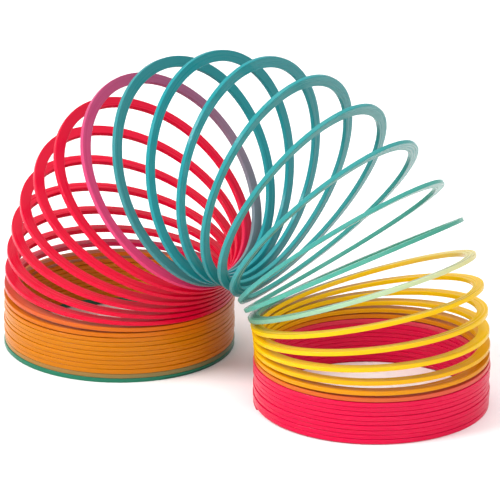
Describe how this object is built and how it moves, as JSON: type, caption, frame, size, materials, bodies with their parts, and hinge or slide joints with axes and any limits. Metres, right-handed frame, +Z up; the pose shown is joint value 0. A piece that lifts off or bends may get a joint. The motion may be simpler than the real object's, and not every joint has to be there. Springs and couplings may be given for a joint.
{
  "type": "spring coil toy",
  "caption": "Rainbow plastic spring coil toy standing as an arch on two closed feet, whose turns fan out, shut and stretch.",
  "frame": {"origin": "on the floor midway between the two feet", "axes": "+X from the left foot to the right foot along the arch, -Y to the front, +Z up"},
  "size_m": [0.1712, 0.075, 0.1058],
  "materials": {
    "green_plastic": "gloss",
    "orange_plastic": "gloss",
    "red_plastic": "gloss",
    "rose_plastic": "gloss",
    "teal_plastic": "gloss",
    "yellow_plastic": "gloss",
    "pink_plastic": "gloss"
  },
  "bodies": {
    "left_foot": {"left_foot_green_turns": "green_plastic", "left_foot_orange_turns": "orange_plastic", "arch_turn_01_front": "orange_plastic", "arch_turn_01_back": "orange_plastic"},
    "turn_02_front": {"arch_turn_02_front": "orange_plastic"},
    "turn_02_back": {"arch_turn_02_back": "orange_plastic"},
    "turn_03_front": {"arch_turn_03_front": "orange_plastic"},
    "turn_03_back": {"arch_turn_03_back": "red_plastic"},
    "turn_04_front": {"arch_turn_04_front": "red_plastic"},
    "turn_04_back": {"arch_turn_04_back": "red_plastic"},
    "turn_05_front": {"arch_turn_05_front": "red_plastic"},
    "turn_05_back": {"arch_turn_05_back": "red_plastic"},
    "turn_06_front": {"arch_turn_06_front": "red_plastic"},
    "turn_06_back": {"arch_turn_06_back": "red_plastic"},
    "turn_07_front": {"arch_turn_07_front": "red_plastic"},
    "turn_07_back": {"arch_turn_07_back": "red_plastic"},
    "turn_08_front": {"arch_turn_08_front": "red_plastic"},
    "turn_08_back": {"arch_turn_08_back": "red_plastic"},
    "turn_09_front": {"arch_turn_09_front": "red_plastic"},
    "turn_09_back": {"arch_turn_09_back": "red_plastic"},
    "turn_10_front": {"arch_turn_10_front": "rose_plastic"},
    "turn_10_back": {"arch_turn_10_back": "rose_plastic"},
    "turn_11_front": {"arch_turn_11_front": "teal_plastic"},
    "turn_11_back": {"arch_turn_11_back": "teal_plastic"},
    "turn_12_front": {"arch_turn_12_front": "teal_plastic"},
    "turn_12_back": {"arch_turn_12_back": "teal_plastic"},
    "turn_13_front": {"arch_turn_13_front": "teal_plastic"},
    "turn_13_back": {"arch_turn_13_back": "teal_plastic"},
    "turn_14_front": {"arch_turn_14_front": "teal_plastic"},
    "turn_14_back": {"arch_turn_14_back": "teal_plastic"},
    "turn_15_front": {"arch_turn_15_front": "teal_plastic"},
    "turn_15_back": {"arch_turn_15_back": "teal_plastic"},
    "turn_16_front": {"arch_turn_16_front": "teal_plastic"},
    "turn_16_back": {"arch_turn_16_back": "teal_plastic"},
    "turn_17_front": {"arch_turn_17_front": "teal_plastic"},
    "turn_17_back": {"arch_turn_17_back": "teal_plastic"},
    "turn_18_front": {"arch_turn_18_front": "teal_plastic"},
    "turn_18_back": {"arch_turn_18_back": "teal_plastic"},
    "turn_19_front": {"arch_turn_19_front": "yellow_plastic"},
    "turn_19_back": {"arch_turn_19_back": "yellow_plastic"},
    "turn_20_front": {"arch_turn_20_front": "yellow_plastic"},
    "turn_20_back": {"arch_turn_20_back": "yellow_plastic"},
    "turn_21_front": {"arch_turn_21_front": "yellow_plastic"},
    "turn_21_back": {"arch_turn_21_back": "yellow_plastic"},
    "turn_22_front": {"arch_turn_22_front": "yellow_plastic"},
    "turn_22_back": {"arch_turn_22_back": "yellow_plastic"},
    "turn_23_front": {"arch_turn_23_front": "yellow_plastic"},
    "turn_23_back": {"arch_turn_23_back": "yellow_plastic"},
    "turn_24_front": {"arch_turn_24_front": "yellow_plastic"},
    "turn_24_back": {"arch_turn_24_back": "yellow_plastic"},
    "right_foot": {"arch_turn_25_front": "yellow_plastic", "arch_turn_25_back": "yellow_plastic", "right_foot_yellow_turns": "yellow_plastic", "right_foot_pink_turns": "pink_plastic"}
  },
  "joints": [
    {"name": "inner_flex_01", "type": "hinge", "parent": "left_foot", "child": "turn_02_front", "pos_m": [-0.01238, 0, 0.01577], "axis": [0, 1, 0], "range_deg": [-0.6152, 0.0395], "stiffness_Nm_per_rad": 0.012},
    {"name": "outer_flex_02", "type": "hinge", "parent": "turn_02_front", "child": "turn_02_back", "pos_m": [-0.08376, 0, 0.01739], "axis": [0, -1, 0], "range_deg": [-0.002, 0.6757], "stiffness_Nm_per_rad": 0.012},
    {"name": "inner_flex_02", "type": "hinge", "parent": "turn_02_back", "child": "turn_03_front", "pos_m": [-0.01235, 0, 0.01735], "axis": [0, 1, 0], "range_deg": [-1.67, 0.1], "stiffness_Nm_per_rad": 0.012},
    {"name": "outer_flex_03", "type": "hinge", "parent": "turn_03_front", "child": "turn_03_back", "pos_m": [-0.08367, 0, 0.02112], "axis": [0, -1, 0], "range_deg": [0, 1.41], "stiffness_Nm_per_rad": 0.012},
    {"name": "inner_flex_03", "type": "hinge", "parent": "turn_03_back", "child": "turn_04_front", "pos_m": [-0.01229, 0, 0.01899], "axis": [0, 1, 0], "range_deg": [-2.98, 0.18], "stiffness_Nm_per_rad": 0.012},
    {"name": "outer_flex_04", "type": "hinge", "parent": "turn_04_front", "child": "turn_04_back", "pos_m": [-0.0833, 0, 0.02657], "axis": [0, -1, 0], "range_deg": [0, 2.27], "stiffness_Nm_per_rad": 0.012},
    {"name": "inner_flex_04", "type": "hinge", "parent": "turn_04_back", "child": "turn_05_front", "pos_m": [-0.01212, 0, 0.02069], "axis": [0, 1, 0], "range_deg": [-4.44, 0.27], "stiffness_Nm_per_rad": 0.012},
    {"name": "outer_flex_05", "type": "hinge", "parent": "turn_05_front", "child": "turn_05_back", "pos_m": [-0.08231, 0, 0.03391], "axis": [0, -1, 0], "range_deg": [0, 3.18], "stiffness_Nm_per_rad": 0.012},
    {"name": "inner_flex_05", "type": "hinge", "parent": "turn_05_back", "child": "turn_06_front", "pos_m": [-0.01181, 0, 0.02247], "axis": [0, 1, 0], "range_deg": [-5.96, 0.37], "stiffness_Nm_per_rad": 0.012},
    {"name": "outer_flex_06", "type": "hinge", "parent": "turn_06_front", "child": "turn_06_back", "pos_m": [-0.0802, 0, 0.0431], "axis": [0, -1, 0], "range_deg": [0, 4.11], "stiffness_Nm_per_rad": 0.012},
    {"name": "inner_flex_06", "type": "hinge", "parent": "turn_06_back", "child": "turn_07_front", "pos_m": [-0.01127, 0, 0.02433], "axis": [0, 1, 0], "range_deg": [-7.45, 0.46], "stiffness_Nm_per_rad": 0.012},
    {"name": "outer_flex_07", "type": "hinge", "parent": "turn_07_front", "child": "turn_07_back", "pos_m": [-0.07632, 0, 0.05387], "axis": [0, -1, 0], "range_deg": [0, 5], "stiffness_Nm_per_rad": 0.012},
    {"name": "inner_flex_07", "type": "hinge", "parent": "turn_07_back", "child": "turn_08_front", "pos_m": [-0.01044, 0, 0.02621], "axis": [0, 1, 0], "range_deg": [-8.84, 0.54], "stiffness_Nm_per_rad": 0.012},
    {"name": "outer_flex_08", "type": "hinge", "parent": "turn_08_front", "child": "turn_08_back", "pos_m": [-0.07003, 0, 0.06565], "axis": [0, -1, 0], "range_deg": [0, 5.81], "stiffness_Nm_per_rad": 0.012},
    {"name": "inner_flex_08", "type": "hinge", "parent": "turn_08_back", "child": "turn_09_front", "pos_m": [-0.00926, 0, 0.02805], "axis": [0, 1, 0], "range_deg": [-10.09, 0.62], "stiffness_Nm_per_rad": 0.012},
    {"name": "outer_flex_09", "type": "hinge", "parent": "turn_09_front", "child": "turn_09_back", "pos_m": [-0.0608, 0, 0.07755], "axis": [0, -1, 0], "range_deg": [0, 6.51], "stiffness_Nm_per_rad": 0.012},
    {"name": "inner_flex_09", "type": "hinge", "parent": "turn_09_back", "child": "turn_10_front", "pos_m": [-0.00768, 0, 0.02974], "axis": [0, 1, 0], "range_deg": [-11.13, 0.68], "stiffness_Nm_per_rad": 0.012},
    {"name": "outer_flex_10", "type": "hinge", "parent": "turn_10_front", "child": "turn_10_back", "pos_m": [-0.04843, 0, 0.08846], "axis": [0, -1, 0], "range_deg": [0, 7.08], "stiffness_Nm_per_rad": 0.012},
    {"name": "inner_flex_10", "type": "hinge", "parent": "turn_10_back", "child": "turn_11_front", "pos_m": [-0.00571, 0, 0.03115], "axis": [0, 1, 0], "range_deg": [-11.92, 0.73], "stiffness_Nm_per_rad": 0.012},
    {"name": "outer_flex_11", "type": "hinge", "parent": "turn_11_front", "child": "turn_11_back", "pos_m": [-0.03313, 0, 0.09716], "axis": [0, -1, 0], "range_deg": [0, 7.48], "stiffness_Nm_per_rad": 0.012},
    {"name": "inner_flex_11", "type": "hinge", "parent": "turn_11_back", "child": "turn_12_front", "pos_m": [-0.00342, 0, 0.03215], "axis": [0, 1, 0], "range_deg": [-12.44, 0.76], "stiffness_Nm_per_rad": 0.012},
    {"name": "outer_flex_12", "type": "hinge", "parent": "turn_12_front", "child": "turn_12_back", "pos_m": [-0.01564, 0, 0.10258], "axis": [0, -1, 0], "range_deg": [0, 7.71], "stiffness_Nm_per_rad": 0.012},
    {"name": "inner_flex_12", "type": "hinge", "parent": "turn_12_back", "child": "turn_13_front", "pos_m": [-0.00092, 0, 0.03263], "axis": [0, 1, 0], "range_deg": [-12.66, 0.78], "stiffness_Nm_per_rad": 0.012},
    {"name": "outer_flex_13", "type": "hinge", "parent": "turn_13_front", "child": "turn_13_back", "pos_m": [0.00294, 0, 0.10401], "axis": [0, -1, 0], "range_deg": [0, 7.75], "stiffness_Nm_per_rad": 0.012},
    {"name": "inner_flex_13", "type": "hinge", "parent": "turn_13_back", "child": "turn_14_front", "pos_m": [0.00164, 0, 0.03254], "axis": [0, 1, 0], "range_deg": [-12.59, 0.77], "stiffness_Nm_per_rad": 0.012},
    {"name": "outer_flex_14", "type": "hinge", "parent": "turn_14_front", "child": "turn_14_back", "pos_m": [0.02126, 0, 0.10128], "axis": [0, -1, 0], "range_deg": [0, 7.62], "stiffness_Nm_per_rad": 0.012},
    {"name": "inner_flex_14", "type": "hinge", "parent": "turn_14_back", "child": "turn_15_front", "pos_m": [0.00409, 0, 0.03189], "axis": [0, 1, 0], "range_deg": [-12.22, 0.75], "stiffness_Nm_per_rad": 0.012},
    {"name": "outer_flex_15", "type": "hinge", "parent": "turn_15_front", "child": "turn_15_back", "pos_m": [0.03806, 0, 0.09478], "axis": [0, -1, 0], "range_deg": [0, 7.31], "stiffness_Nm_per_rad": 0.012},
    {"name": "inner_flex_15", "type": "hinge", "parent": "turn_15_back", "child": "turn_16_front", "pos_m": [0.00628, 0, 0.03076], "axis": [0, 1, 0], "range_deg": [-11.58, 0.71], "stiffness_Nm_per_rad": 0.012},
    {"name": "outer_flex_16", "type": "hinge", "parent": "turn_16_front", "child": "turn_16_back", "pos_m": [0.05236, 0, 0.08538], "axis": [0, -1, 0], "range_deg": [0, 6.83], "stiffness_Nm_per_rad": 0.012},
    {"name": "inner_flex_16", "type": "hinge", "parent": "turn_16_back", "child": "turn_17_front", "pos_m": [0.00812, 0, 0.02926], "axis": [0, 1, 0], "range_deg": [-10.68, 0.66], "stiffness_Nm_per_rad": 0.012},
    {"name": "outer_flex_17", "type": "hinge", "parent": "turn_17_front", "child": "turn_17_back", "pos_m": [0.06366, 0, 0.07422], "axis": [0, -1, 0], "range_deg": [0, 6.22], "stiffness_Nm_per_rad": 0.012},
    {"name": "inner_flex_17", "type": "hinge", "parent": "turn_17_back", "child": "turn_18_front", "pos_m": [0.00957, 0, 0.02753], "axis": [0, 1, 0], "range_deg": [-9.58, 0.59], "stiffness_Nm_per_rad": 0.012},
    {"name": "outer_flex_18", "type": "hinge", "parent": "turn_18_front", "child": "turn_18_back", "pos_m": [0.0719, 0, 0.06246], "axis": [0, -1, 0], "range_deg": [0, 5.49], "stiffness_Nm_per_rad": 0.012},
    {"name": "inner_flex_18", "type": "hinge", "parent": "turn_18_back", "child": "turn_19_front", "pos_m": [0.01064, 0, 0.02568], "axis": [0, 1, 0], "range_deg": [-8.31, 0.51], "stiffness_Nm_per_rad": 0.012},
    {"name": "outer_flex_19", "type": "hinge", "parent": "turn_19_front", "child": "turn_19_back", "pos_m": [0.07741, 0, 0.05111], "axis": [0, -1, 0], "range_deg": [0, 4.67], "stiffness_Nm_per_rad": 0.012},
    {"name": "inner_flex_19", "type": "hinge", "parent": "turn_19_back", "child": "turn_20_front", "pos_m": [0.01139, 0, 0.02382], "axis": [0, 1, 0], "range_deg": [-6.92, 0.43], "stiffness_Nm_per_rad": 0.012},
    {"name": "outer_flex_20", "type": "hinge", "parent": "turn_20_front", "child": "turn_20_back", "pos_m": [0.08075, 0, 0.0409], "axis": [0, -1, 0], "range_deg": [0, 3.8], "stiffness_Nm_per_rad": 0.012},
    {"name": "inner_flex_20", "type": "hinge", "parent": "turn_20_back", "child": "turn_21_front", "pos_m": [0.01187, 0, 0.02199], "axis": [0, 1, 0], "range_deg": [-5.48, 0.34], "stiffness_Nm_per_rad": 0.012},
    {"name": "outer_flex_21", "type": "hinge", "parent": "turn_21_front", "child": "turn_21_back", "pos_m": [0.08255, 0, 0.03229], "axis": [0, -1, 0], "range_deg": [0, 2.92], "stiffness_Nm_per_rad": 0.012},
    {"name": "inner_flex_21", "type": "hinge", "parent": "turn_21_back", "child": "turn_22_front", "pos_m": [0.01215, 0, 0.02024], "axis": [0, 1, 0], "range_deg": [-4.05, 0.25], "stiffness_Nm_per_rad": 0.012},
    {"name": "outer_flex_22", "type": "hinge", "parent": "turn_22_front", "child": "turn_22_back", "pos_m": [0.08338, 0, 0.02546], "axis": [0, -1, 0], "range_deg": [0, 2.06], "stiffness_Nm_per_rad": 0.012},
    {"name": "inner_flex_22", "type": "hinge", "parent": "turn_22_back", "child": "turn_23_front", "pos_m": [0.0123, 0, 0.01855], "axis": [0, 1, 0], "range_deg": [-2.7, 0.17], "stiffness_Nm_per_rad": 0.012},
    {"name": "outer_flex_23", "type": "hinge", "parent": "turn_23_front", "child": "turn_23_back", "pos_m": [0.08368, 0, 0.02038], "axis": [0, -1, 0], "range_deg": [0, 1.27], "stiffness_Nm_per_rad": 0.012},
    {"name": "inner_flex_23", "type": "hinge", "parent": "turn_23_back", "child": "turn_24_front", "pos_m": [0.01236, 0, 0.01693], "axis": [0, 1, 0], "range_deg": [-1.5, 0.09], "stiffness_Nm_per_rad": 0.012},
    {"name": "outer_flex_24", "type": "hinge", "parent": "turn_24_front", "child": "turn_24_back", "pos_m": [0.08377, 0, 0.01688], "axis": [0, -1, 0], "range_deg": [-0.002, 0.605], "stiffness_Nm_per_rad": 0.012},
    {"name": "inner_flex_24", "type": "hinge", "parent": "turn_24_back", "child": "right_foot", "pos_m": [0.01238, 0, 0.01535], "axis": [0, 1, 0], "range_deg": [-0.5493, 0.0355], "stiffness_Nm_per_rad": 0.012}
  ],
  "couplings": [
    {"joint": "inner_flex_01", "follows": "inner_flex_12", "ratio": 0.04842},
    {"joint": "outer_flex_02", "follows": "outer_flex_13", "ratio": 0.08688},
    {"joint": "inner_flex_02", "follows": "inner_flex_12", "ratio": 0.13182},
    {"joint": "outer_flex_03", "follows": "outer_flex_13", "ratio": 0.18176},
    {"joint": "inner_flex_03", "follows": "inner_flex_12", "ratio": 0.23552},
    {"joint": "outer_flex_04", "follows": "outer_flex_13", "ratio": 0.29211},
    {"joint": "inner_flex_04", "follows": "inner_flex_12", "ratio": 0.35062},
    {"joint": "outer_flex_05", "follows": "outer_flex_13", "ratio": 0.4102},
    {"joint": "inner_flex_05", "follows": "inner_flex_12", "ratio": 0.47007},
    {"joint": "outer_flex_06", "follows": "outer_flex_13", "ratio": 0.52948},
    {"joint": "inner_flex_06", "follows": "inner_flex_12", "ratio": 0.58772},
    {"joint": "outer_flex_07", "follows": "outer_flex_13", "ratio": 0.64413},
    {"joint": "inner_flex_07", "follows": "inner_flex_12", "ratio": 0.69809},
    {"joint": "outer_flex_08", "follows": "outer_flex_13", "ratio": 0.74901},
    {"joint": "inner_flex_08", "follows": "inner_flex_12", "ratio": 0.79637},
    {"joint": "outer_flex_09", "follows": "outer_flex_13", "ratio": 0.83968},
    {"joint": "inner_flex_09", "follows": "inner_flex_12", "ratio": 0.87851},
    {"joint": "outer_flex_10", "follows": "outer_flex_13", "ratio": 0.91246},
    {"joint": "inner_flex_10", "follows": "inner_flex_12", "ratio": 0.94124},
    {"joint": "outer_flex_11", "follows": "outer_flex_13", "ratio": 0.96455},
    {"joint": "inner_flex_11", "follows": "inner_flex_12", "ratio": 0.98222},
    {"joint": "outer_flex_12", "follows": "outer_flex_13", "ratio": 0.99405},
    {"joint": "inner_flex_13", "follows": "inner_flex_12", "ratio": 0.99411},
    {"joint": "outer_flex_14", "follows": "outer_flex_13", "ratio": 0.98238},
    {"joint": "inner_flex_14", "follows": "inner_flex_12", "ratio": 0.965},
    {"joint": "outer_flex_15", "follows": "outer_flex_13", "ratio": 0.94212},
    {"joint": "inner_flex_15", "follows": "inner_flex_12", "ratio": 0.91402},
    {"joint": "outer_flex_16", "follows": "outer_flex_13", "ratio": 0.88099},
    {"joint": "inner_flex_16", "follows": "inner_flex_12", "ratio": 0.84339},
    {"joint": "outer_flex_17", "follows": "outer_flex_13", "ratio": 0.80159},
    {"joint": "inner_flex_17", "follows": "inner_flex_12", "ratio": 0.75606},
    {"joint": "outer_flex_18", "follows": "outer_flex_13", "ratio": 0.70723},
    {"joint": "inner_flex_18", "follows": "inner_flex_12", "ratio": 0.65564},
    {"joint": "outer_flex_19", "follows": "outer_flex_13", "ratio": 0.60181},
    {"joint": "inner_flex_19", "follows": "inner_flex_12", "ratio": 0.54631},
    {"joint": "outer_flex_20", "follows": "outer_flex_13", "ratio": 0.48974},
    {"joint": "inner_flex_20", "follows": "inner_flex_12", "ratio": 0.43271},
    {"joint": "outer_flex_21", "follows": "outer_flex_13", "ratio": 0.37585},
    {"joint": "inner_flex_21", "follows": "inner_flex_12", "ratio": 0.31982},
    {"joint": "outer_flex_22", "follows": "outer_flex_13", "ratio": 0.26532},
    {"joint": "inner_flex_22", "follows": "inner_flex_12", "ratio": 0.21306},
    {"joint": "outer_flex_23", "follows": "outer_flex_13", "ratio": 0.16379},
    {"joint": "inner_flex_23", "follows": "inner_flex_12", "ratio": 0.11837},
    {"joint": "outer_flex_24", "follows": "outer_flex_13", "ratio": 0.07776},
    {"joint": "inner_flex_24", "follows": "inner_flex_12", "ratio": 0.04321}
  ]
}
